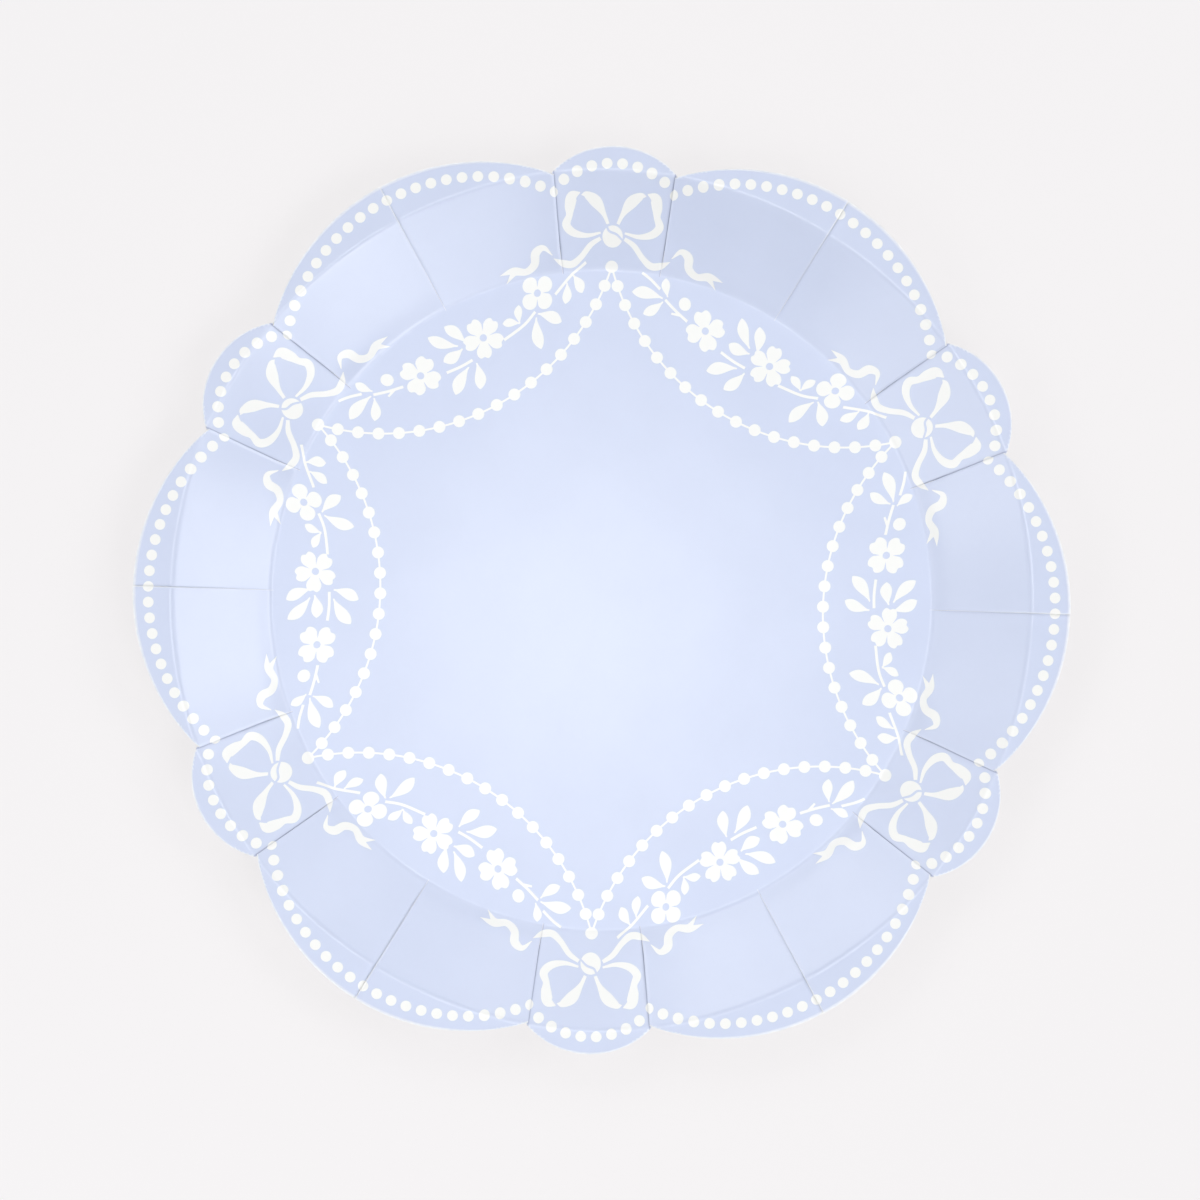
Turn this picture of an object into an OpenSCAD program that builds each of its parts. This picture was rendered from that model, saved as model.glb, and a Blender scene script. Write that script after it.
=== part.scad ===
// Side plate of pressed paperboard.
// One coated sheet is die-cut to a lobed outline and slit round its rim. The press folds the rim up
// into a wall and a level flange. The folded rim has less room than the flat sheet gave it, so the
// panels between the slits lap over one another.
// Millimetres. The origin is the middle of the underside, +Z is up, +Y runs through a small lobe.

/* [Outline] */
// Number of large lobes, and of the small lobes between them
lobe_count = 6; // [5:1:8]
// How far a large lobe stands out past the notches beside it
large_reach = 8.7; // [5:0.1:14]
// How far a small lobe stands out past the notches beside it
small_reach = 5.5; // [3:0.1:9]
// Angle of rim that a small lobe takes up, notch to notch
small_angle = 17; // [12:0.5:24]

/* [Form] */
// Diameter of the flat floor
floor_d = 148; // [110:1:165]
// Diameter of the crest, where the wall turns out into the flange and the notches end
crest_d = 191.6; // [175:0.2:260]
// Height of the flange over the floor
depth = 10; // [4:0.5:18]
// Bend radius on the top face, where the floor turns up into the wall
floor_bend = 3; // [1:0.5:6]
// Bend radius on the underside, where the wall turns out into the flange
crest_bend = 2.5; // [1:0.5:5]

/* [Board] */
// Thickness of the paperboard
board = 0.45; // [0.3:0.05:0.8]

/* [Slits] */
// Width of a slit, where its two edges only meet
slit_w = 0.06; // [0.02:0.01:0.2]
// Stretch of slit, out from the foot of the wall, before its edges lap
butt_length = 3.5; // [2:0.5:8]
// Air between two panels where they lap
lap_air = 0.08; // [0.05:0.01:0.2]
// Share of a half lobe's spread that falls at the slit in the lobe's middle, the rest at its notch
middle_share = 0.1; // [0.02:0.01:0.5]
// Air between the floor and the panels at the fold line
fold_air = 0.05; // [0.03:0.01:0.1]

/* [Hidden] */
floor_r = floor_d / 2;
crest_r = crest_d / 2;
pitch_angle = 360 / lobe_count;
large_angle = pitch_angle - small_angle;
half_hold = large_angle / 2 * middle_share;

// Steps of a panel's skin: across it, up the floor bend, up the butted and the lapped stretch of
// wall, and over the crest to the edge
columns = 8;
bend_steps = 4;
butt_steps = 2;
lap_steps = 3;
rim_steps = 6;
butt_row = bend_steps + butt_steps;
rim_row = butt_row + lap_steps;
rows = rim_row + rim_steps;
// Width of wall below the crest that a notch and its laps may cut into
notch_room = 1;

// The section of the rim, along the underside: bend, straight wall, bend, level flange
fold_r = floor_r + fold_air;
under_bend = floor_bend + board;
wall_run = crest_r - fold_r;
wall_slope = 2 * atan(depth / (wall_run + sqrt(wall_run * wall_run + depth * (depth - 2 * under_bend))));
wall_foot_r = fold_r + under_bend * sin(wall_slope);
crease_r = fold_r + under_bend * tan(wall_slope / 2);
flange_r = crest_r + crest_bend * tan(wall_slope / 2);
wall_top_r = flange_r - crest_bend * sin(wall_slope);
rim_start_r = min(wall_top_r, crest_r - notch_room);
butt_r = wall_foot_r + butt_length;
lap_lift = (board + lap_air) / cos(wall_slope);

paper = "#d9e2fa";

// Slope of the section at a radius
function slope_at(r) =
    r < wall_foot_r ? asin((r - fold_r) / under_bend)
    : r < wall_top_r ? wall_slope
    : r < flange_r ? asin((flange_r - r) / crest_bend)
    : 0;

// Height of the underside at a radius
function under_z(r) =
    r < wall_foot_r ? under_bend * (1 - cos(slope_at(r)))
    : r < wall_top_r ? (r - crease_r) * tan(wall_slope)
    : depth - crest_bend * (1 - cos(slope_at(r)));

// Length of sheet from the fold to a radius, less the level distance between them
function spare(r) =
    r < wall_foot_r ? arc(under_bend, slope_at(r)) - (r - fold_r)
    : r < wall_top_r ? spare_at_foot + (r - wall_foot_r) * (1 / cos(wall_slope) - 1)
    : spare_at_top + arc(crest_bend, wall_slope - slope_at(r))
        - (min(r, flange_r) - wall_top_r);
function arc(radius, angle) = radius * angle * PI / 180;
spare_at_foot = arc(under_bend, wall_slope) - (wall_foot_r - fold_r);
spare_at_top = spare_at_foot + (wall_top_r - wall_foot_r) * (1 / cos(wall_slope) - 1);

// Angle of a point across a panel. The panel keeps its flat width, so past the butted stretch it
// spreads over its formed sector, away from the line at the angle hold.
function pressed_angle(r, from, to, hold, across) =
    let (
        slit = slit_w / 2 / arc(r, 1),
        flat = from + slit + (to - from - 2 * slit) * across
    ) hold + (flat - hold) * (1 + max(0, spare(r) - spare(butt_r)) / r);

// A lapping edge has climbed a whole thickness by the end of the butted stretch
function climb(r) =
    let (t = min(1, (r - fold_r) / (butt_r - fold_r))) lap_lift * t * t * (3 - 2 * t);

// A lobe is one arc through its tip and its two notches: [distance of its centre, radius]
function lobe(reach, angle) =
    let (
        half_chord = crest_r * sin(angle / 2),
        rise = crest_r * (1 - cos(angle / 2)) + reach,
        radius = (half_chord * half_chord + rise * rise) / (2 * rise)
    ) [crest_r + reach - radius, radius];
function outline_r(lobe_arc, a) =
    lobe_arc[0] * cos(a) + sqrt(pow(lobe_arc[1], 2) - pow(lobe_arc[0] * sin(a), 2));

// Radius of a row of the skin, where the outline lies at edge_r
function row_r(k, edge_r) =
    k <= bend_steps ? fold_r + under_bend * sin(wall_slope * k / bend_steps)
    : k <= butt_row ? wall_foot_r + butt_length * (k - bend_steps) / butt_steps
    : k <= rim_row ? butt_r + (rim_start_r - butt_r) * (k - butt_row) / lap_steps
    : rim_row_r(k - rim_row, edge_r);
function rim_row_r(k, edge_r) =
    k == rim_steps ? edge_r
    : min(
        flange_r - crest_bend * sin(wall_slope * (1 - k / (rim_steps - 1))),
        rim_start_r + (edge_r - rim_start_r) * k / rim_steps
    );

// One point of the skin, up the board by a distance from the underside
function skin_point(r, a, up, lift) =
    let (
        slope = slope_at(r),
        plan_r = r - up * sin(slope)
    ) [plan_r * cos(a), plan_r * sin(a), under_z(r) + up * cos(slope) + lift];

function corner(face, k, j) = (face * (rows + 1) + k) * (columns + 1) + j;
function quad(a, b, c, d) = [[a, b, c], [a, c, d]];

// A panel of rim between two slits, on the lobe whose tip is at angle 0.
// Its edges lie at from and to, and lap_from and lap_to are 1 where that edge lies over its neighbour.
module panel(lobe_arc, from, to, hold, lap_from, lap_to) {
    points = [
        for (up = [0, board]) for (k = [0:rows]) for (j = [0:columns])
            let (
                across = j / columns,
                edge_r = outline_r(lobe_arc, pressed_angle(crest_r, from, to, hold, across)),
                r = row_r(k, edge_r),
                lap = lap_from + (lap_to - lap_from) * across
            ) skin_point(r, pressed_angle(r, from, to, hold, across), up, lap * climb(r))
    ];
    faces = concat(
        [
            for (k = [0:rows - 1]) for (j = [0:columns - 1]) each concat(
                quad(corner(1, k, j), corner(1, k, j + 1), corner(1, k + 1, j + 1), corner(1, k + 1, j)),
                quad(corner(0, k, j), corner(0, k + 1, j), corner(0, k + 1, j + 1), corner(0, k, j + 1))
            )
        ],
        [
            for (k = [0:rows - 1]) each concat(
                quad(corner(0, k, 0), corner(1, k, 0), corner(1, k + 1, 0), corner(0, k + 1, 0)),
                quad(
                    corner(0, k, columns), corner(0, k + 1, columns),
                    corner(1, k + 1, columns), corner(1, k, columns)
                )
            )
        ],
        [
            for (j = [0:columns - 1]) each concat(
                quad(corner(0, 0, j), corner(0, 0, j + 1), corner(1, 0, j + 1), corner(1, 0, j)),
                quad(corner(0, rows, j), corner(1, rows, j), corner(1, rows, j + 1), corner(0, rows, j + 1))
            )
        ]
    );
    polyhedron(points, faces);
}

// Lobes are numbered the way angles grow, from the small lobe on +Y
function small_axis(i) = 90 + (i - 1) * pitch_angle;
function large_axis(i) = small_axis(i) + pitch_angle / 2;

// The flat middle of the sheet, on which the plate stands
module well_floor() {
    color(paper) cylinder(r = floor_r, h = board, $fn = 180);
}

// A small lobe's panel lies under both of its neighbours
module small_lobe(i) {
    color(paper) rotate(small_axis(i))
        panel(lobe(small_reach, small_angle), -small_angle / 2, small_angle / 2, 0, 0, 0);
}

// The left half of a large lobe, seen from the middle of the plate, lies over both of its neighbours
module large_lobe_left(i) {
    color(paper) rotate(large_axis(i))
        panel(lobe(large_reach, large_angle), 0, large_angle / 2, half_hold, 1, 1);
}

// The right half lies over the small lobe and under the left half
module large_lobe_right(i) {
    color(paper) rotate(large_axis(i))
        panel(lobe(large_reach, large_angle), -large_angle / 2, 0, -half_hold, 1, 0);
}

well_floor();
for (i = [1:lobe_count]) {
    small_lobe(i);
    large_lobe_left(i);
    large_lobe_right(i);
}
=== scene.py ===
import math

import bpy
import numpy as np
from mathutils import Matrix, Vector
from mathutils.geometry import delaunay_2d_cdt


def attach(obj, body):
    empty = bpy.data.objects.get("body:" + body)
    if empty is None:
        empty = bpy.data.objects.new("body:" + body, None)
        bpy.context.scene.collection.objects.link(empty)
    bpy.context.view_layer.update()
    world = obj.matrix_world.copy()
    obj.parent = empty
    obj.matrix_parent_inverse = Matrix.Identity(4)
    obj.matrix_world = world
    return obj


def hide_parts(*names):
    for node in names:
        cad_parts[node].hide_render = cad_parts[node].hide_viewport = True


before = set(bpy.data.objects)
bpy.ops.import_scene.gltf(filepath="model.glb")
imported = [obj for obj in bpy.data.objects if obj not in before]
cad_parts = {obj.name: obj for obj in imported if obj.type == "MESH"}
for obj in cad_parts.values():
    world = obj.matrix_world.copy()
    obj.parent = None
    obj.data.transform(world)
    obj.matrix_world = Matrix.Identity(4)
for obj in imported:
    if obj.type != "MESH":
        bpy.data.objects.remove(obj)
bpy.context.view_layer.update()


# Board. White folding board of about 350 g a square metre, clay-coated on the side that is printed.
# The flood print is a pale periwinkle under a satin varnish, and the ornament in it is bare coating.
# The back and the die-cut edges are the uncoated fibre itself.
board = 0.45


def add_node(tree, kind, settings=None, sockets=None):
    """A new node: its settings first, then its sockets, each by a value or a link from another socket."""
    node = tree.nodes.new(kind)
    for key, value in (settings or {}).items():
        setattr(node, key, value)
    for key, value in (sockets or {}).items():
        if isinstance(value, bpy.types.NodeSocket):
            tree.links.new(value, node.inputs[key])
        else:
            node.inputs[key].default_value = value
    return node


class Wire:
    """A value that runs through a finish's nodes. Arithmetic on it adds Math nodes."""

    def __init__(self, tree, socket):
        self.tree = tree
        self.socket = socket

    def node(self, kind, settings=None, sockets=None, output=0):
        ends = {key: end.socket if isinstance(end, Wire) else end for key, end in (sockets or {}).items()}
        return Wire(self.tree, add_node(self.tree, kind, settings, ends).outputs[output])

    def math(self, operation, first, second):
        return self.node("ShaderNodeMath", {"operation": operation}, {0: first, 1: second})

    def __add__(self, other):
        return self.math("ADD", self, other)

    def __radd__(self, other):
        return self.math("ADD", other, self)

    def __sub__(self, other):
        return self.math("SUBTRACT", self, other)

    def __rsub__(self, other):
        return self.math("SUBTRACT", other, self)

    def __mul__(self, other):
        return self.math("MULTIPLY", self, other)

    def __rmul__(self, other):
        return self.math("MULTIPLY", other, self)


def linear(red, green, blue):
    """A screen colour of 0 to 255 as the linear colour that a shader takes."""
    shares = (red / 255, green / 255, blue / 255)
    return tuple(s / 12.92 if s <= 0.04045 else ((s + 0.055) / 1.055) ** 2.4 for s in shares) + (1.0,)


# Scales of the noise, per metre, in the cloudy mottle, the specks, the fibres and the sheet's slow swell
cloud_scale = 70
speck_scale = 900
fibre_scale = 2600
swell_scale = 26
# Fibres lie longer along the board's grain
grain_stretch = 0.45
# Shares of cloud, specks and fibres in the mottle of the tone
cloud_share = 0.8
speck_share = 0.12
fibre_share = 0.08
# Wear of the print: all along a cut edge, in flecks there, and in flecks on a bend. At the middle slits the
# cut edge's share is also painted light.
edge_wear = 0.35
edge_flecks = 0.9
bend_flecks = 0.04
# Changes of roughness in the mottle, along the fibres and at a cut edge
cloud_gloss = 0.03
fibre_gloss = 0.01
cut_gloss = 0.3
# Share of the fibres in the surface's fine relief, the rest being specks
fibre_relief = 0.35
skin_strength = 0.5
swell_strength = 0.35
swell_height = 0.0006
board_ior = 1.5
# Width in millimetres and strength of the painted shade: a dark line on the panel below a lapping edge, where
# its shadow falls
lap_shade_width = 0.3
lap_shade_strength = 0.5


def board_finish(name, deep, pale, wear_and_light_tone, lap_shade_tone, roughness, fibre_height):
    """A face of the board: two close tones in a cloudy mottle, with wear at edges and bends, which at the
    middle slits is partly painted light, and painted shade under a lap.
    """
    finish = bpy.data.materials.new(name)
    finish.use_nodes = True
    tree = finish.node_tree
    shader = tree.nodes["Principled BSDF"]
    place = Wire(tree, add_node(tree, "ShaderNodeTexCoord").outputs["Object"])

    def noise(vector, scale, detail):
        return place.node("ShaderNodeTexNoise", None, {"Vector": vector, "Scale": scale, "Detail": detail})

    def painted(label):
        return place.node("ShaderNodeAttribute", {"attribute_name": label}, None, "Fac")

    def blend(share, first, second):
        return place.node("ShaderNodeMix", {"data_type": "RGBA"}, {0: share, 6: first, 7: second}, 2)

    cloud = noise(place, cloud_scale, 3.0)
    speck = noise(place, speck_scale, 2.0)
    grain = place.node("ShaderNodeMapping", None, {"Vector": place, "Scale": (1, grain_stretch, 1)})
    fibre = noise(grain, fibre_scale, 2.0)
    swell = noise(place, swell_scale, 1.0)
    cut = painted("cut_wear_and_light")
    bend = painted("bend_wear")
    past_lap = painted("past_lap")

    tone = cloud * cloud_share + speck * speck_share + fibre * fibre_share
    wear_and_light_share = cut * (edge_wear + speck * edge_flecks) + bend * fibre * bend_flecks
    tone_with_wear_and_light = blend(wear_and_light_share, blend(tone, deep, pale), wear_and_light_tone)
    # Painted shade: the panel darkens just past the edge of a neighbour that laps over it, where that edge's
    # shadow falls
    dark = lap_shade_strength - place.math("ABSOLUTE", past_lap, 0.0) * (lap_shade_strength / lap_shade_width)
    colour = blend(dark, tone_with_wear_and_light, lap_shade_tone)
    even_gloss = roughness - (cloud_gloss + fibre_gloss) / 2
    gloss = even_gloss + cloud * cloud_gloss + fibre * fibre_gloss + cut * cut_gloss
    relief = fibre * fibre_relief + speck * (1 - fibre_relief)
    skin = place.node(
        "ShaderNodeBump", None, {"Strength": skin_strength, "Distance": fibre_height, "Height": relief}
    )
    sheet = place.node(
        "ShaderNodeBump",
        None,
        {"Strength": swell_strength, "Distance": swell_height, "Height": swell, "Normal": skin},
    )
    tree.links.new(colour.socket, shader.inputs["Base Color"])
    tree.links.new(gloss.socket, shader.inputs["Roughness"])
    tree.links.new(sheet.socket, shader.inputs["Normal"])
    shader.inputs["IOR"].default_value = board_ior
    return finish


bare_tone = linear(245, 245, 243)
fibre_tone = linear(248, 248, 246)
varnish_roughness = 0.2
varnish_relief = 0.7e-6
printed = board_finish(
    "printed_periwinkle",
    deep=linear(200, 209, 232),
    pale=linear(208, 217, 240),
    wear_and_light_tone=bare_tone,
    # Colour of the painted shade under a lapping edge
    lap_shade_tone=linear(88, 98, 148),
    roughness=varnish_roughness,
    fibre_height=varnish_relief,
)
bare = board_finish(
    "bare_coating",
    deep=linear(239, 240, 238),
    pale=linear(244, 245, 243),
    wear_and_light_tone=bare_tone,
    # Colour of the painted shade under a lapping edge
    lap_shade_tone=linear(219, 221, 230),
    roughness=varnish_roughness,
    fibre_height=varnish_relief,
)
fibre_face = board_finish(
    "uncoated_fibre",
    deep=linear(233, 233, 231),
    pale=linear(244, 244, 242),
    wear_and_light_tone=fibre_tone,
    lap_shade_tone=fibre_tone,
    roughness=0.85,
    fibre_height=12e-6,
)


# Outline. The die cuts six large lobes and six small ones between them, each one arc of a circle.
# Plan sizes are millimetres on the sheet seen from above, and +Y runs through a small lobe.
lobes = 6
pitch = 2 * math.pi / lobes
small_angle = math.radians(17)
large_angle = pitch - small_angle
floor_r = 74.0
crest_r = 95.8
# How far a lobe stands out past the notches beside it
large_reach = 8.7
small_reach = 5.5


def lobe_arc(reach, angle):
    """Distance of a lobe's centre from the middle of the plate, and its radius."""
    half_chord = crest_r * math.sin(angle / 2)
    rise = crest_r * (1 - math.cos(angle / 2)) + reach
    radius = (half_chord**2 + rise**2) / (2 * rise)
    return crest_r + reach - radius, radius


large_arc = lobe_arc(large_reach, large_angle)
small_arc = lobe_arc(small_reach, small_angle)


# Border dots. A row of bare dots follows the edge of every lobe.
# They are left out of the flood print, and a slit cuts through the dot at each notch.
dot_r = 1.2
dot_sides = 24
# Outlines of the print on the flat sheet, each with its finish, in the order in which they are laid
print_shapes = []


def print_tree(name, dotted):
    """A tree that repeats one motif, or one row of dots on an arc, round the plate."""
    tree = bpy.data.node_groups.new(name, "GeometryNodeTree")
    sizes = [
        ("Motif", "NodeSocketGeometry"),
        ("Copies", "NodeSocketInt"),
        ("First Turn", "NodeSocketFloat"),
        ("Finish", "NodeSocketMaterial"),
    ]
    if dotted:
        sizes += [
            ("Arc Centre", "NodeSocketFloat"),
            ("Arc Radius", "NodeSocketFloat"),
            ("Arc Middle", "NodeSocketFloat"),
            ("Half Sweep", "NodeSocketFloat"),
            ("Dots", "NodeSocketInt"),
            ("Dot Radius", "NodeSocketFloat"),
        ]
    for label, kind in sizes:
        tree.interface.new_socket(label, in_out="INPUT", socket_type=kind)
    tree.interface.new_socket("Print", in_out="OUTPUT", socket_type="NodeSocketGeometry")
    given = add_node(tree, "NodeGroupInput").outputs

    def maths(operation, first, second):
        return add_node(tree, "ShaderNodeMath", {"operation": operation}, {0: first, 1: second}).outputs[0]

    motif = given["Motif"]
    if dotted:
        arc = add_node(
            tree,
            "GeometryNodeCurveArc",
            {"mode": "RADIUS"},
            {
                "Resolution": given["Dots"],
                "Radius": given["Arc Radius"],
                "Start Angle": maths("SUBTRACT", given["Arc Middle"], given["Half Sweep"]),
                "Sweep Angle": maths("MULTIPLY", given["Half Sweep"], 2.0),
            },
        )
        centre = add_node(tree, "ShaderNodeCombineXYZ", None, {"Y": given["Arc Centre"]})
        path = add_node(
            tree,
            "GeometryNodeTransform",
            None,
            {"Geometry": arc.outputs["Curve"], "Translation": centre.outputs[0]},
        )
        dot = add_node(
            tree,
            "GeometryNodeMeshCircle",
            {"fill_type": "NGON"},
            {"Vertices": dot_sides, "Radius": given["Dot Radius"]},
        )
        row = add_node(
            tree,
            "GeometryNodeInstanceOnPoints",
            None,
            {"Points": path.outputs["Geometry"], "Instance": dot.outputs["Mesh"]},
        )
        motif = row.outputs["Instances"]

    middle = add_node(tree, "GeometryNodePoints", None, {"Count": given["Copies"]})
    index = add_node(tree, "GeometryNodeInputIndex").outputs[0]
    step = maths("DIVIDE", 2 * math.pi, given["Copies"])
    turn = maths("ADD", maths("MULTIPLY", index, step), given["First Turn"])
    about_z = add_node(tree, "ShaderNodeCombineXYZ", None, {"Z": turn})
    ring = add_node(
        tree,
        "GeometryNodeInstanceOnPoints",
        None,
        {"Points": middle.outputs[0], "Instance": motif, "Rotation": about_z.outputs[0]},
    )
    real = add_node(tree, "GeometryNodeRealizeInstances", None, {"Geometry": ring.outputs["Instances"]})
    painted = add_node(
        tree,
        "GeometryNodeSetMaterial",
        None,
        {"Geometry": real.outputs["Geometry"], "Material": given["Finish"]},
    )
    add_node(tree, "NodeGroupOutput", None, {"Print": painted.outputs["Geometry"]})
    return tree


def lay_print(tree, finish, first_turn, sizes=None, outlines=()):
    """Runs a print tree and adds the outline of every face it makes to the sheet's print."""
    motif = bpy.data.meshes.new(tree.name)
    corners = [(x, y, 0.0) for outline in outlines for x, y in outline]
    starts = np.cumsum([0] + [len(outline) for outline in outlines])
    motif.from_pydata(corners, [], [range(a, b) for a, b in zip(starts[:-1], starts[1:])])
    holder = bpy.data.objects.new(tree.name, motif)
    bpy.context.scene.collection.objects.link(holder)
    modifier = holder.modifiers.new("print", "NODES")
    modifier.node_group = tree
    values = {"Copies": lobes, "First Turn": first_turn, "Finish": finish, **(sizes or {})}
    for item in tree.interface.items_tree:
        if item.name in values:
            modifier[item.identifier] = values[item.name]
    made = bpy.data.meshes.new_from_object(holder.evaluated_get(bpy.context.evaluated_depsgraph_get()))
    holder.modifiers.remove(modifier)
    for face in made.polygons:
        print_shapes.append((np.array([made.vertices[i].co[:2] for i in face.vertices]), finish))
    bpy.data.objects.remove(holder)
    bpy.data.meshes.remove(motif)
    bpy.data.meshes.remove(made)


dot_rows = print_tree("dot_rows", True)
# The large lobe's row ends on the slits at the notches, so it sweeps further about the lobe's own centre
large_dots = 23
large_inset = 3.45
large_row_r = large_arc[1] - large_inset
large_sweep = large_angle / 2 + math.asin(large_arc[0] * math.sin(large_angle / 2) / large_row_r)
lay_print(
    dot_rows,
    bare,
    pitch / 2,
    {
        "Arc Centre": large_arc[0],
        "Arc Radius": large_row_r,
        "Arc Middle": math.pi / 2,
        "Half Sweep": large_sweep,
        "Dots": large_dots,
        "Dot Radius": dot_r,
    },
)
# The small lobe's row has the curve of its edge, moved in, and stops short of the notches
small_dots = 8
small_step = 3.4
small_inset = 3.9
small_sweep = small_step * (small_dots - 1) / 2 / small_arc[1]
lay_print(
    dot_rows,
    bare,
    0.0,
    {
        "Arc Centre": small_arc[0] - small_inset,
        "Arc Radius": small_arc[1],
        "Arc Middle": math.pi / 2,
        "Half Sweep": small_sweep,
        "Dots": small_dots,
        "Dot Radius": dot_r,
    },
)


# Pearl swags. Six strings of bare beads on a thin thread sag inwards from bow to bow.
# Each hangs on one arc of a circle, and two neighbours share the larger bead under a bow.
hook_r = 75.2
sag_r = 49.9
pearls = 19
pearl_r = 1.36
hook_pearl_r = 1.45
thread = 0.45
thread_points = 73

half_span = hook_r * math.sin(pitch / 2)
sag = hook_r * math.cos(pitch / 2) - sag_r
swag_r = (half_span**2 + sag**2) / (2 * sag)
swag_centre = sag_r + swag_r
swag_sweep = math.asin(half_span / swag_r)


def disc(x, y, radius, sides=28):
    """Outline of a round spot."""
    turns = np.linspace(0, 2 * math.pi, sides, endpoint=False)
    return np.column_stack([x + radius * np.cos(turns), y + radius * np.sin(turns)])


def swag_string():
    """Outline of the thread between two hooks."""
    turns = np.linspace(-swag_sweep, swag_sweep, thread_points)
    sides = []
    for radius in (swag_r - thread / 2, swag_r + thread / 2):
        sides.append(np.column_stack([radius * np.sin(turns), swag_centre - radius * np.cos(turns)]))
    return np.concatenate([sides[0], sides[1][::-1]])


motif_ring = print_tree("motif_ring", False)
lay_print(motif_ring, bare, pitch / 2, None, [swag_string()])
lay_print(motif_ring, bare, 0.0, None, [disc(0, hook_r, hook_pearl_r)])
# The swag hangs towards the middle, so its arc lies on the near side of its centre. The row stops one
# bead short of the hooks, which have their own.
lay_print(
    dot_rows,
    bare,
    pitch / 2,
    {
        "Arc Centre": swag_centre,
        "Arc Radius": swag_r,
        "Arc Middle": -math.pi / 2,
        "Half Sweep": swag_sweep * (pearls - 3) / (pearls - 1),
        "Dots": pearls - 2,
        "Dot Radius": pearl_r,
    },
)


# Bows. A ribbon is tied in a bow over each small lobe, with two loops, a knot and two long tails.
# It is drawn as flat bare shapes with thin lines of print between the folds, and is the same on both sides.
knot_r = 82.2
knot_half = (2.3, 2.4)
knot_drop = 0.15
tail_fork = 2.0


def smooth(points, steps=7):
    """A smooth curve through points of any number of coordinates."""
    points = np.array(points, float)
    ends = np.concatenate([[2 * points[0] - points[1]], points, [2 * points[-1] - points[-2]]])
    t = np.linspace(0, 1, steps, endpoint=False)[:, None]
    spans = []
    for a, b, c, d in zip(ends[:-3], ends[1:-2], ends[2:-1], ends[3:]):
        curve = 2 * b + (c - a) * t + (2 * a - 5 * b + 4 * c - d) * t**2 + (3 * b - a - 3 * c + d) * t**3
        spans.append(curve / 2)
    return np.concatenate(spans + [points[-1:]])


def ribbon(stations, fork=0.0):
    """Outline of a ribbon through stations of across, out and width, with its far end cut to a fork."""
    path = smooth(stations)
    centre = path[:, :2]
    run = np.gradient(centre, axis=0)
    run /= np.linalg.norm(run, axis=1)[:, None]
    side = np.column_stack([-run[:, 1], run[:, 0]]) * path[:, 2:] / 2
    end = [centre[-1] - run[-1] * fork] if fork else []
    return np.concatenate([centre + side, np.array(end).reshape(-1, 2), (centre - side)[::-1]])


def both_sides(outlines):
    """The outlines and their mirror images about the lobe's axis."""
    return list(outlines) + [outline * (-1, 1) for outline in outlines]


loop_front = ribbon([(1.1, 2.3, 0.7), (2.1, 4.4, 1.1), (3.9, 7.0, 2.6), (6.0, 8.4, 1.6), (7.2, 8.4, 0.1)])
loop_back = ribbon(
    [
        (7.5, 8.9, 0.2),
        (9.2, 8.0, 2.3),
        (9.7, 5.9, 2.3),
        (9.8, 3.9, 1.5),
        (10.4, 1.8, 1.9),
        (8.8, 0.2, 1.7),
        (5.8, -0.3, 1.0),
        (2.7, 0.4, 0.45),
    ]
)
tail_near = ribbon(
    [
        (2.7, -0.8, 0.8),
        (4.9, -2.3, 1.2),
        (6.9, -4.9, 1.3),
        (8.9, -6.6, 1.6),
        (11.0, -6.5, 1.5),
        (13.1, -5.6, 0.1),
    ]
)
tail_far = ribbon(
    [
        (13.4, -4.9, 0.15),
        (15.5, -3.4, 1.2),
        (17.2, -4.6, 2.0),
        (17.4, -7.0, 1.8),
        (19.2, -8.7, 1.5),
        (22.0, -8.8, 1.9),
        (24.4, -10.8, 2.5),
    ],
    tail_fork,
)
knot = disc(0, -knot_drop, 1.0, 32) * knot_half
knot_fold = ribbon([(-1.5, 2.2, 0.4), (-0.8, 0.8, 0.5), (0.9, 0.1, 0.5), (2.4, -1.3, 0.4)])
at_knot = np.array([0, knot_r])
lay_print(
    motif_ring,
    bare,
    0.0,
    None,
    [shape + at_knot for shape in both_sides([loop_front, loop_back, tail_near, tail_far]) + [knot]],
)
lay_print(motif_ring, printed, 0.0, None, [knot_fold + at_knot])


# Garlands. Under each large lobe a spray of three flowers runs on a slender stem, with leaves and a bud.
# Every shape is bare coating, left out of the flood print, and each flower has a printed eye.
garland_r = 64.0
# Radius of the stem's shallow curve
garland_bend = 173.0
stem = 0.65
eye_r = 0.82
# A petal: points round it, the flower's solid middle, how full the petal is, and the width of its nick
petal_points = 20
petal_root = 0.3
petal_fullness = 0.42
nick_width = 0.1
# A leaf: points along it, how far out and how blunt its broad part is, and half its stalk's width
leaf_points = 15
leaf_skew = 1.5
leaf_bluntness = 0.75
stalk_half = 0.17


def on_garland(shape):
    """Shapes drawn along a straight stem, bent to the garland's shallow curve."""
    return np.column_stack([shape[:, 0], shape[:, 1] + garland_r + shape[:, 0] ** 2 / (2 * garland_bend)])


def flower(x, y, petals, radius, turn, nick):
    """Outline of a flower with broad petals, each nicked at its tip by a share of the radius."""
    turns = np.linspace(0, 2 * math.pi, petals * petal_points, endpoint=False)
    phase = (turns * petals / (2 * math.pi) + 0.5) % 1 - 0.5
    petal = petal_root + (1 - petal_root) * np.cos(math.pi * phase) ** petal_fullness
    reach = radius * (petal - nick * np.exp(-((phase / nick_width) ** 2)))
    turns = turns + math.radians(turn)
    return np.column_stack([x + reach * np.cos(turns), y + reach * np.sin(turns)])


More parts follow.
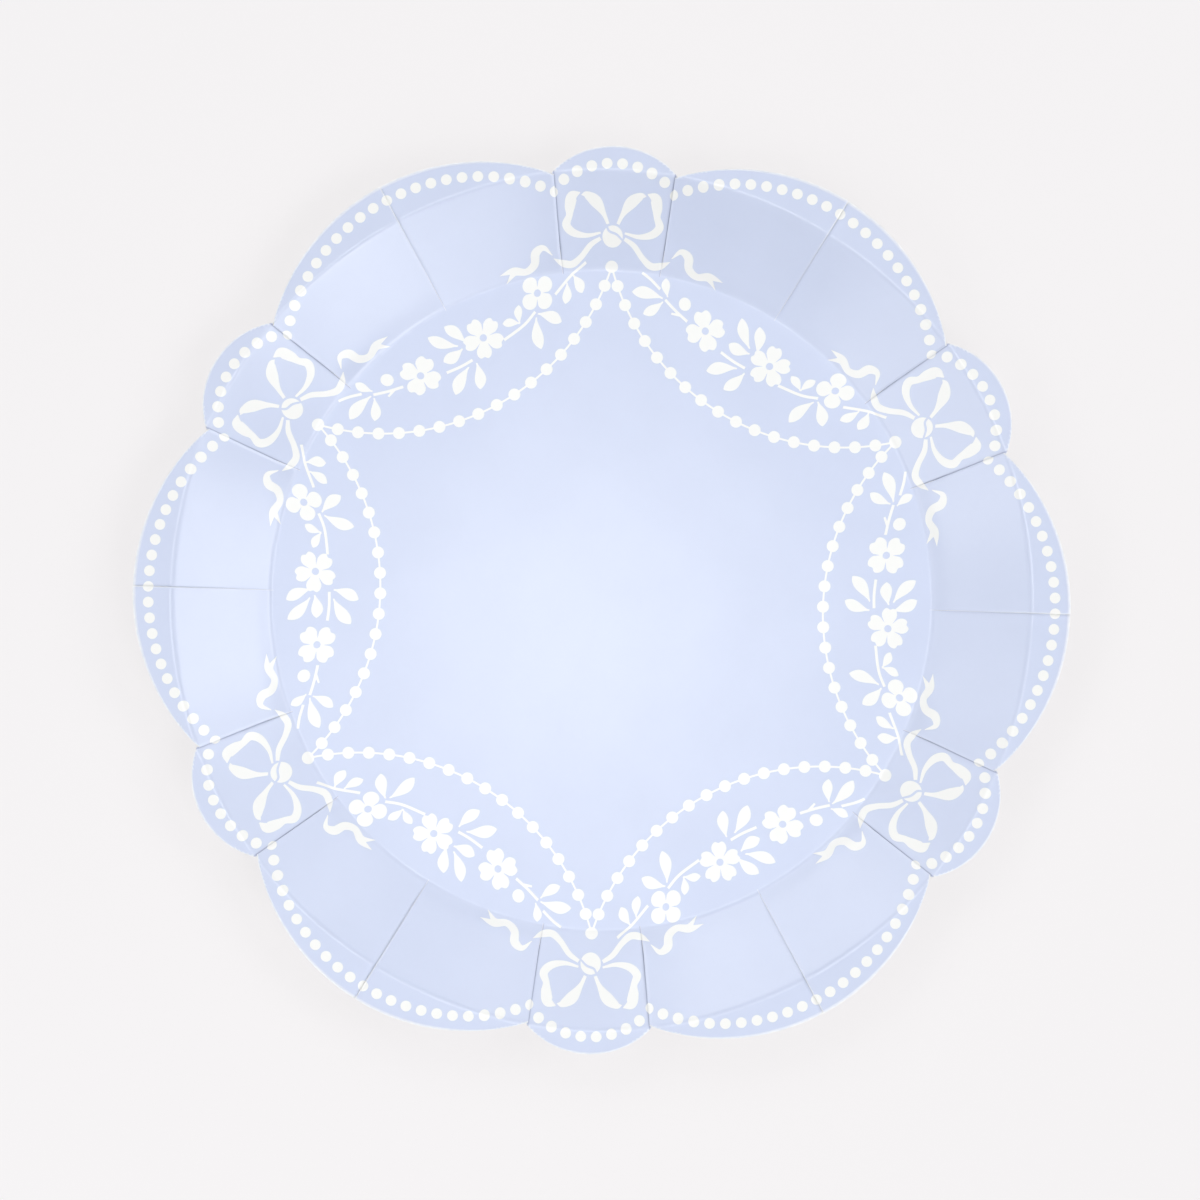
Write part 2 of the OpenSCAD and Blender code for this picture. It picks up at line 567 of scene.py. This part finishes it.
def leaf(x, y, heading, length, width, curl=0.06):
    """Outline of a leaf on a short stalk, widest well past its middle, with a blunt tip."""
    along = np.sin(np.linspace(0, math.pi / 2, leaf_points))
    blade = width / 2 * np.sin(math.pi * along**leaf_skew) ** leaf_bluntness
    half = np.maximum(blade, stalk_half * (1 - along))
    spine = curl * length * along * (1 - along) * 4
    shape = np.concatenate(
        [
            np.column_stack([along * length, spine + half]),
            np.column_stack([along * length, spine - half])[-2::-1],
        ]
    )
    c, s = math.cos(math.radians(heading)), math.sin(math.radians(heading))
    return shape @ np.array([[c, s], [-s, c]]) + (x, y)


# Places of the three flowers, along the stem and out from it
heads = [(20, 2.6), (4.5, 0.6), (-12, -0.6)]
flowers = [
    flower(*heads[0], 4, 4.2, 15, 0.0),
    flower(*heads[1], 5, 4.9, 30, 0.12),
    flower(*heads[2], 4, 4.8, 45, 0.15),
]
eyes = [disc(x, y, eye_r, 16) for x, y in heads]
sprigs = [
    ribbon([(33.0, 1.7, stem), (28.5, 1.3, stem), (23.4, 0.0, stem)]),
    leaf(29, 1.1, -90, 4.5, 2.4),
    leaf(27, 0.6, -125, 4.5, 2.2),
    ribbon([(17.6, -0.6, stem), (14, -1.7, stem), (8.4, -2.2, stem)]),
    leaf(17.9, -1.3, -50, 6, 2.6),
    leaf(17.2, -1.8, -110, 7, 2.7, -0.06),
    leaf(13.3, -0.9, 65, 4, 1.9),
    leaf(13.3, -0.9, 150, 4, 1.9, -0.06),
    ribbon([(0, -2.6, stem), (-3, -2.7, stem), (-6.5, -2.5, stem)]),
    leaf(0.5, 1.6, 115, 6, 2.6, -0.06),
    leaf(-1.4, 1.7, 137, 7, 2.6, 0.06),
    leaf(-0.8, 0.7, -172, 5.2, 2.7),
    leaf(0.5, -3.6, -110, 6, 2.6),
    leaf(-1.5, -3.6, -143, 7, 2.8, -0.06),
    ribbon([(-16.6, -1.3, stem), (-20, -1, stem), (-23.4, -0.5, stem)]),
    ribbon([(-18.8, -1.2, stem), (-20.6, -2.1, stem * 0.7)]),
    disc(-19.1, 1.5, 1.45, 16),
    leaf(-23.2, 0.3, 130, 4, 2.1),
    leaf(-23.6, -1.2, -115, 5.5, 2.2),
    leaf(-24, -0.6, -153, 7.5, 2.6, -0.06),
    ribbon([(-25.6, 0.6, stem), (-28.5, 0.9, stem), (-31, 0.8, stem)]),
]
lay_print(motif_ring, bare, pitch / 2, None, [on_garland(shape) for shape in flowers + sprigs])
lay_print(motif_ring, printed, pitch / 2, None, [on_garland(shape) for shape in eyes])


# Well floor. The flat middle of the sheet, inside the fold line, on which the plate stands.
# Its triangles follow the outlines of the print, so the ornament lies flush in the surface.
fold_step = math.radians(0.5)
# Points of the print closer together than this, in millimetres, are joined
weld = 1e-4
millimetre = 0.001
# Distance to the nearest lap where there is none, well past the width of the painted shade line under a lap
no_lap = 9.0


def imprint(edge, fill):
    """Cuts a flat piece of sheet into triangles along the print. Returns its points, triangles, finishes."""
    low = edge.min(axis=0)
    high = edge.max(axis=0)
    outlines = [edge]
    finishes = [printed]
    for outline, finish in print_shapes:
        if (outline.max(axis=0) > low).all() and (outline.min(axis=0) < high).all():
            outlines.append(outline)
            finishes.append(finish)
    faces = []
    start = 0
    for k, outline in enumerate(outlines):
        x, y = outline.T
        if np.sum(x * np.roll(y, -1) - y * np.roll(x, -1)) < 0:
            outlines[k] = outline[::-1]
        faces.append(list(range(start, start + len(outline))))
        start += len(outline)
    corners = [Vector(p) for p in np.concatenate(outlines + [fill]).tolist()]
    points, _, cut, _, _, sources = delaunay_2d_cdt(corners, [], faces, 0, weld, True)
    inside = [k for k, source in enumerate(sources) if 0 in source]
    triangles = np.array([cut[k] for k in inside])
    kept, triangles = np.unique(triangles, return_inverse=True)
    triangles = triangles.reshape(-1, 3)
    finish = [finishes[max(sources[k])] for k in inside]
    return np.array([tuple(points[k]) for k in kept]), triangles, finish


def sheet_piece(name, top, back, normals, triangles, finish, wear, turn=0.0):
    """A closed piece of board from its upper and lower skins, turned about the plate's axis."""
    count = len(top)
    c, s = math.cos(turn), math.sin(turn)
    spin = np.array([[c, s, 0], [-s, c, 0], [0, 0, 1]])
    verts = np.concatenate([top, back]) @ spin * millimetre
    normals = normals @ spin
    starts = triangles.reshape(-1)
    ends = np.roll(triangles, -1, axis=1).reshape(-1)
    twins = set(zip(ends.tolist(), starts.tolist()))
    rim = np.array([pair for pair in zip(starts.tolist(), ends.tolist()) if pair not in twins])
    under = triangles[:, ::-1] + count
    sides = np.column_stack([rim[:, 1], rim[:, 0], rim[:, 0] + count, rim[:, 1] + count])
    across = np.cross(verts[sides[:, 1]] - verts[sides[:, 0]], verts[sides[:, 3]] - verts[sides[:, 0]])
    across /= np.linalg.norm(across, axis=1)[:, None] + 1e-20

    mesh = bpy.data.meshes.new(name)
    mesh.from_pydata(verts.tolist(), [], triangles.tolist() + under.tolist() + sides.tolist())
    finishes = [printed, bare, fibre_face]
    for one in finishes:
        mesh.materials.append(one)
    slots = [finishes.index(one) for one in finish] + [finishes.index(fibre_face)] * (len(under) + len(sides))
    mesh.polygons.foreach_set("material_index", slots)
    mesh.polygons.foreach_set("use_smooth", [True] * len(mesh.polygons))
    for label, values in wear.items():
        attribute = mesh.attributes.new(label, "FLOAT", "POINT")
        attribute.data.foreach_set("value", np.concatenate([values, values]).astype(np.float32))
    upper = normals[triangles].reshape(-1, 3)
    lower = -normals[triangles[:, ::-1]].reshape(-1, 3)
    corner_normals = np.concatenate([upper, lower, np.repeat(across, 4, axis=0)])
    mesh.normals_split_custom_set(corner_normals.tolist())
    piece = bpy.data.objects.new(name + "_sheet", mesh)
    bpy.context.scene.collection.objects.link(piece)
    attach(piece, "root")
    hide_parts(name)


fold_turns = np.arange(0, 2 * math.pi - fold_step / 2, fold_step)
fold_edge = floor_r * np.column_stack([np.cos(fold_turns), np.sin(fold_turns)])
floor_plan, floor_cut, floor_finish = imprint(fold_edge, np.zeros((1, 2)))
floor_back = np.column_stack([floor_plan, np.zeros(len(floor_plan))])
no_wear = np.zeros(len(floor_plan))
sheet_piece(
    "well_floor",
    floor_back + (0, 0, board),
    floor_back,
    np.tile((0.0, 0.0, 1.0), (len(floor_plan), 1)),
    floor_cut,
    floor_finish,
    {"cut_wear_and_light": no_wear, "bend_wear": no_wear, "past_lap": no_wear + no_lap},
)


# Small lobes. Six narrow panels of rim, folded up from the floor and lapped under both neighbours.
# The press bends each up a straight wall and out into a level flange, and leaves its width as cut.
depth = 10.0
floor_bend = 3.0
crest_bend = 2.5
fold_air = 0.05
slit_w = 0.06
lap_air = 0.08
# Stretch of a slit, out from the foot of the wall, before its edges lap
butt_length = 3.5
# Share of a half lobe's spread that falls at the slit in the lobe's middle
middle_share = 0.1
# The cut edges roll down over this width by this depth
roll_width = 0.35
roll_depth = 0.1
# Distances of the roll's rows from the edge, and of its columns from a slit, as shares of its width
roll_rows = np.array([1, 0.35, 0])
roll_columns = np.array([0.25, 0.6])
# Rows of points on a panel: up each bend, up the wall and out over the flange
bend_steps = 6
wall_steps = 13
flange_steps = 4
# Width of wall below the crest that a notch may cut into
notch_room = 1.0

fold_r = floor_r + fold_air
under_bend = floor_bend + board
wall_run = crest_r - fold_r
wall_slope = 2 * math.atan(depth / (wall_run + math.sqrt(wall_run**2 + depth * (depth - 2 * under_bend))))
foot_r = fold_r + under_bend * math.sin(wall_slope)
crease_r = fold_r + under_bend * math.tan(wall_slope / 2)
flange_r = crest_r + crest_bend * math.tan(wall_slope / 2)
top_r = flange_r - crest_bend * math.sin(wall_slope)
butt_r = foot_r + butt_length
lap_lift = (board + lap_air) / math.cos(wall_slope)
half_hold = large_angle / 2 * middle_share


def slope_at(r):
    """Slope of the rim's section at a radius."""
    low = np.arcsin(np.clip((r - fold_r) / under_bend, 0, math.sin(wall_slope)))
    high = np.arcsin(np.clip((flange_r - r) / crest_bend, 0, math.sin(wall_slope)))
    return np.minimum(low, high)


def under_z(r):
    """Height of the underside at a radius."""
    slope = slope_at(r)
    foot = under_bend * (1 - np.cos(slope))
    wall = (r - crease_r) * math.tan(wall_slope)
    rim = depth - crest_bend * (1 - np.cos(slope))
    return np.where(r < foot_r, foot, np.where(r < top_r, wall, rim))


def spare(r):
    """Length of sheet from the fold to a radius, less the level distance between them."""
    r = np.clip(r, fold_r, flange_r)
    foot = under_bend * slope_at(np.minimum(r, foot_r)) - (np.minimum(r, foot_r) - fold_r)
    wall = (np.clip(r, foot_r, top_r) - foot_r) * (1 / math.cos(wall_slope) - 1)
    rim = crest_bend * (wall_slope - slope_at(np.maximum(r, top_r))) - (np.maximum(r, top_r) - top_r)
    return foot + wall + rim


def spread(r):
    """Share by which a panel spreads at a radius, past the butted stretch."""
    return np.maximum(0, spare(r) - spare(butt_r)) / r


class Panel:
    """The rule by which the press shapes one panel. Its lobe's tip lies on +X, its edges at two angles.

    It spreads from its hold line, and an edge whose lap is 1 lies over its neighbour. Where the neighbours
    lie over it, cover is the angle between their hold lines and the slits.
    """

    def __init__(self, arc, start, stop, hold, laps, slits, cover=None):
        self.arc = arc
        self.start = start
        self.stop = stop
        self.hold = hold
        self.laps = laps
        self.slit_wear, self.slit_run_in = np.array(slits).T[:, :, None]
        self.cover = cover

    def pressed(self, r, a):
        """Angle of a point once pressed. The panel keeps its flat width and spreads from its hold line."""
        gap = slit_w / 2 / r
        across = (a - self.start) / (self.stop - self.start)
        flat = self.start + gap + (self.stop - self.start - 2 * gap) * across
        return self.hold + (flat - self.hold) * (1 + spread(r))

    def edge_r(self, a):
        """Radius of the die-cut edge."""
        turn = self.pressed(crest_r, a)
        return self.arc[0] * np.cos(turn) + np.sqrt(self.arc[1] ** 2 - (self.arc[0] * np.sin(turn)) ** 2)

    def near_slits(self, r, a):
        """For each of the two slits, 1 on it, falling to 0 where the edge's roll ends."""
        away = np.stack([a - self.start, self.stop - a]) * r
        return np.clip(1 - away / roll_width, 0, 1) * np.clip((r - floor_r) / self.slit_run_in, 0, 1)

    def near_edge(self, r, a):
        """1 on the die-cut edge, falling to 0 where its roll ends."""
        return np.clip(1 - (self.edge_r(a) - r) / roll_width, 0, 1)

    def past_lap(self, r, a):
        """Distance of a point past the edges of the neighbours that lie over this panel, which places the
        painted shade under their edges.
        """
        if self.cover is None:
            return r * 0 + no_lap
        inside = (self.stop - self.start) / 2 - self.cover * spread(r)
        return (inside - np.abs(self.pressed(r, a) - (self.start + self.stop) / 2)) * r

    def skin(self, r, a, up):
        """Points of the pressed panel, up the board from its underside."""
        slope = slope_at(r)
        t = np.clip((r - fold_r) / (butt_r - fold_r), 0, 1)
        climb = lap_lift * t * t * (3 - 2 * t)
        share = (a - self.start) / (self.stop - self.start)
        lift = climb * (self.laps[0] + (self.laps[1] - self.laps[0]) * share)
        near_cut = np.maximum(self.near_slits(r, a).max(axis=0), self.near_edge(r, a))
        roll = roll_depth * near_cut**2 * up / board
        plan_r = r - up * np.sin(slope)
        turn = self.pressed(r, a)
        z = under_z(r) + up * np.cos(slope) + lift - roll
        return np.column_stack([plan_r * np.cos(turn), plan_r * np.sin(turn), z])

    def rows(self, a):
        """Radii of the skin's points on one column, from the fold to the edge."""
        edge = float(self.edge_r(a))
        start = min(top_r, crest_r - notch_room)
        bent = np.arange(bend_steps + 1) / bend_steps
        bend = fold_r + under_bend * np.sin(wall_slope * bent)
        wall = np.linspace(foot_r, start, wall_steps + 1)[1:]
        crest = flange_r - crest_bend * np.sin(wall_slope * (1 - bent[1:]))
        flange = np.linspace(flange_r, edge - roll_width, flange_steps + 1)[1:-1]
        rim = np.concatenate([crest, flange, edge - roll_width * roll_rows])
        even = start + (edge - start) * np.arange(1, len(rim) + 1) / len(rim)
        return np.concatenate([[floor_r], bend, wall, np.minimum(rim, even)])

    def columns(self):
        """Angles of the skin's columns, closer together beside the slits."""
        count = round((self.stop - self.start) / fold_step)
        even = np.linspace(self.start, self.stop, count + 1)
        fine = roll_width / floor_r * roll_columns
        return np.sort(np.concatenate([even, self.start + fine, self.stop - fine]))

    def lay(self, axis):
        """The flat panel's edge and the points that fill it, turned to its lobe's axis."""
        columns = self.columns()
        r = np.array([self.rows(a) for a in columns])
        a = np.repeat(columns[:, None], r.shape[1], axis=1) + axis
        points = np.stack([r * np.cos(a), r * np.sin(a)], axis=-1)
        edge = np.concatenate([points[:, 0], points[-1, 1:], points[-2::-1, -1], points[0, -2:0:-1]])
        return edge, points[1:-1, 1:-1].reshape(-1, 2)

    def build(self, names, axis):
        """Cuts the panel out of the printed sheet, presses it and repeats it round the plate."""
        plan, triangles, finish = imprint(*self.lay(axis))
        c, s = math.cos(axis), math.sin(axis)
        home = plan @ np.array([[c, -s], [s, c]])
        r = np.hypot(home[:, 0], home[:, 1])
        a = np.clip(np.arctan2(home[:, 1], home[:, 0]), self.start, self.stop)
        # Half the distance over which the skin's direction is measured, for its normals
        step = 0.004
        along = self.skin(r + step, a, board) - self.skin(r - step, a, board)
        over = self.skin(r, a + step / r, board) - self.skin(r, a - step / r, board)
        normals = np.cross(along, over)
        normals /= np.linalg.norm(normals, axis=1)[:, None]
        slope = slope_at(r)
        # The cut mask is wear along the cuts and, at the middle slits, painted light; the lap distance places
        # the painted shade under a lapping edge
        worn_and_lit_slits = (self.slit_wear * self.near_slits(r, a)).max(axis=0)
        wear = {
            "cut_wear_and_light": np.maximum(worn_and_lit_slits, self.near_edge(r, a)) ** 2,
            "bend_wear": np.sin(math.pi * slope / wall_slope) ** 2,
            "past_lap": self.past_lap(r, a),
        }
        top = self.skin(r, a, board)
        back = self.skin(r, a, 0.0)
        for k, name in enumerate(names):
            sheet_piece(name, top, back, normals, triangles, finish, wear, axis + k * pitch)


small_axis = math.pi / 2
small_cover = large_angle / 2 - half_hold
# Wear of a slit's edge, and the distance from the fold over which its roll grows
notch_slit = (0.35, 2.0)
small_slits = (notch_slit, notch_slit)
small_panel = Panel(small_arc, -small_angle / 2, small_angle / 2, 0.0, (0, 0), small_slits, small_cover)
small_panel.build([f"small_lobe_{k}" for k in range(1, lobes + 1)], small_axis)


# Large lobes. Each is slit down its middle into a left and a right panel, seen from the plate's middle.
# The left panel lies over both neighbours, the right one over the small lobe and under the left.
large_axis = small_axis + pitch / 2
# The middle slit's edges are much paler than a notch's: partly the coating gone from the cut, partly painted
# light that lightens the shade of the lap along the seam
middle_slit = (0.9, 24.0)
left_panel = Panel(large_arc, 0.0, large_angle / 2, half_hold, (1, 1), (middle_slit, notch_slit))
left_panel.build([f"large_lobe_left_{k}" for k in range(1, lobes + 1)], large_axis)
right_panel = Panel(large_arc, -large_angle / 2, 0.0, -half_hold, (1, 0), (notch_slit, middle_slit))
right_panel.build([f"large_lobe_right_{k}" for k in range(1, lobes + 1)], large_axis)


# Table top and studio light. The plate lies on a plain pale surface under soft lamps.
# The camera sees most of the table's colour as it is, so the plate's shadow stays faint.
table_tone = linear(244, 242, 243)
table_half = 3
# The table lies a hair under the plate, so that no two faces share a place
table_z = -0.0001
# Share of its own even colour in the table that the camera sees, the rest being its lit surface
even_share = 0.82
fill_strength = 0.04
table_mesh = bpy.data.meshes.new("table_top")
table_signs = [(-1, -1), (1, -1), (1, 1), (-1, 1)]
table_corners = [(x * table_half, y * table_half, table_z) for x, y in table_signs]
table_mesh.from_pydata(table_corners, [], [(0, 1, 2, 3)])
table_top = bpy.data.objects.new("table_top", table_mesh)
bpy.context.scene.collection.objects.link(table_top)


def seen(tree):
    """1 on rays by which the camera sees a thing, straight, in a gloss or through glass."""
    rays = add_node(tree, "ShaderNodeLightPath").outputs
    camera_ray = Wire(tree, rays["Is Camera Ray"])
    return camera_ray + Wire(tree, rays["Is Glossy Ray"]) + Wire(tree, rays["Is Transmission Ray"])


pale_table = bpy.data.materials.new("pale_table")
pale_table.use_nodes = True
table_tree = pale_table.node_tree
matt = table_tree.nodes["Principled BSDF"]
matt.inputs["Base Color"].default_value = table_tone
matt.inputs["Roughness"].default_value = 0.9
matt.inputs["Specular IOR Level"].default_value = 0.0
even_tone = add_node(table_tree, "ShaderNodeEmission", None, {"Color": table_tone, "Strength": 1.0})
mixed = add_node(
    table_tree,
    "ShaderNodeMixShader",
    None,
    {0: (seen(table_tree) * even_share).socket, 1: matt.outputs[0], 2: even_tone.outputs[0]},
)
table_tree.links.new(mixed.outputs[0], table_tree.nodes["Material Output"].inputs["Surface"])
table_mesh.materials.append(pale_table)

studio = bpy.data.worlds.new("studio")
bpy.context.scene.world = studio
studio.use_nodes = True
sky_tree = studio.node_tree
fill = sky_tree.nodes["Background"]
fill.inputs["Color"].default_value = (1, 1, 1, 1)
fill.inputs["Strength"].default_value = fill_strength
backdrop = add_node(sky_tree, "ShaderNodeBackground", None, {"Color": table_tone, "Strength": 1.0})
sky = add_node(
    sky_tree,
    "ShaderNodeMixShader",
    None,
    {0: seen(sky_tree).socket, 1: fill.outputs[0], 2: backdrop.outputs[0]},
)
sky_tree.links.new(sky.outputs[0], sky_tree.nodes["World Output"].inputs["Surface"])


def lamp(name, bearing, height, distance, size, power):
    """A square soft box that faces the plate, at a bearing and a height above the table in degrees."""
    turn = math.radians(bearing)
    rise = math.radians(height)
    place = Vector((math.cos(turn) * math.cos(rise), math.sin(turn) * math.cos(rise), math.sin(rise)))
    light = bpy.data.lights.new(name, "AREA")
    light.size = size
    light.energy = power
    holder = bpy.data.objects.new(name, light)
    holder.location = place * distance
    holder.rotation_mode = "QUATERNION"
    holder.rotation_quaternion = (-place).to_track_quat("-Z", "Y")
    holder.visible_camera = False
    bpy.context.scene.collection.objects.link(holder)


# Soft boxes stand round the table, all alike but for their watts, which are given by bearing
ring_height = 40
ring_distance = 1.5
ring_size = 0.7
ring = {0: 6.5, 30: 1.7, 60: 2.1, 90: 2.2, 120: 4.3, 150: 1.8, 180: 2.3, 210: 3.5, 300: 4.0}
for bearing, power in ring.items():
    lamp(f"ring_lamp_{bearing}", bearing, ring_height, ring_distance, ring_size, power)
# A box close by lightens one side of the rim, a key gives the walls their shading, and a small box
# almost overhead gives the floor its sheen
lamp("near_lamp", bearing=240, height=30, distance=0.4, size=0.3, power=0.25)
lamp("key_lamp", bearing=315, height=58, distance=1.5, size=0.5, power=3.6)
lamp("sheen_lamp", bearing=237, height=89.0, distance=1.6, size=0.2, power=1.1)


# Camera. It stands straight above the plate with a long lens, turned a little as the photograph is.
# The picture's width is given at the height of the flange.
frame_width = 0.2674
camera_height = 0.9
camera_offset = -0.00037
camera_turn = math.radians(1.73)
rim_height = 0.0104
sensor_width = 36.0
lens = bpy.data.cameras.new("camera")
lens.sensor_width = sensor_width
lens.lens = sensor_width * (camera_height - rim_height) / frame_width
camera = bpy.data.objects.new("camera", lens)
camera.location = (camera_offset, 0.0, camera_height)
camera.rotation_euler = (0, 0, camera_turn)
bpy.context.scene.collection.objects.link(camera)
bpy.context.scene.camera = camera
bpy.context.scene.view_settings.view_transform = "Standard"
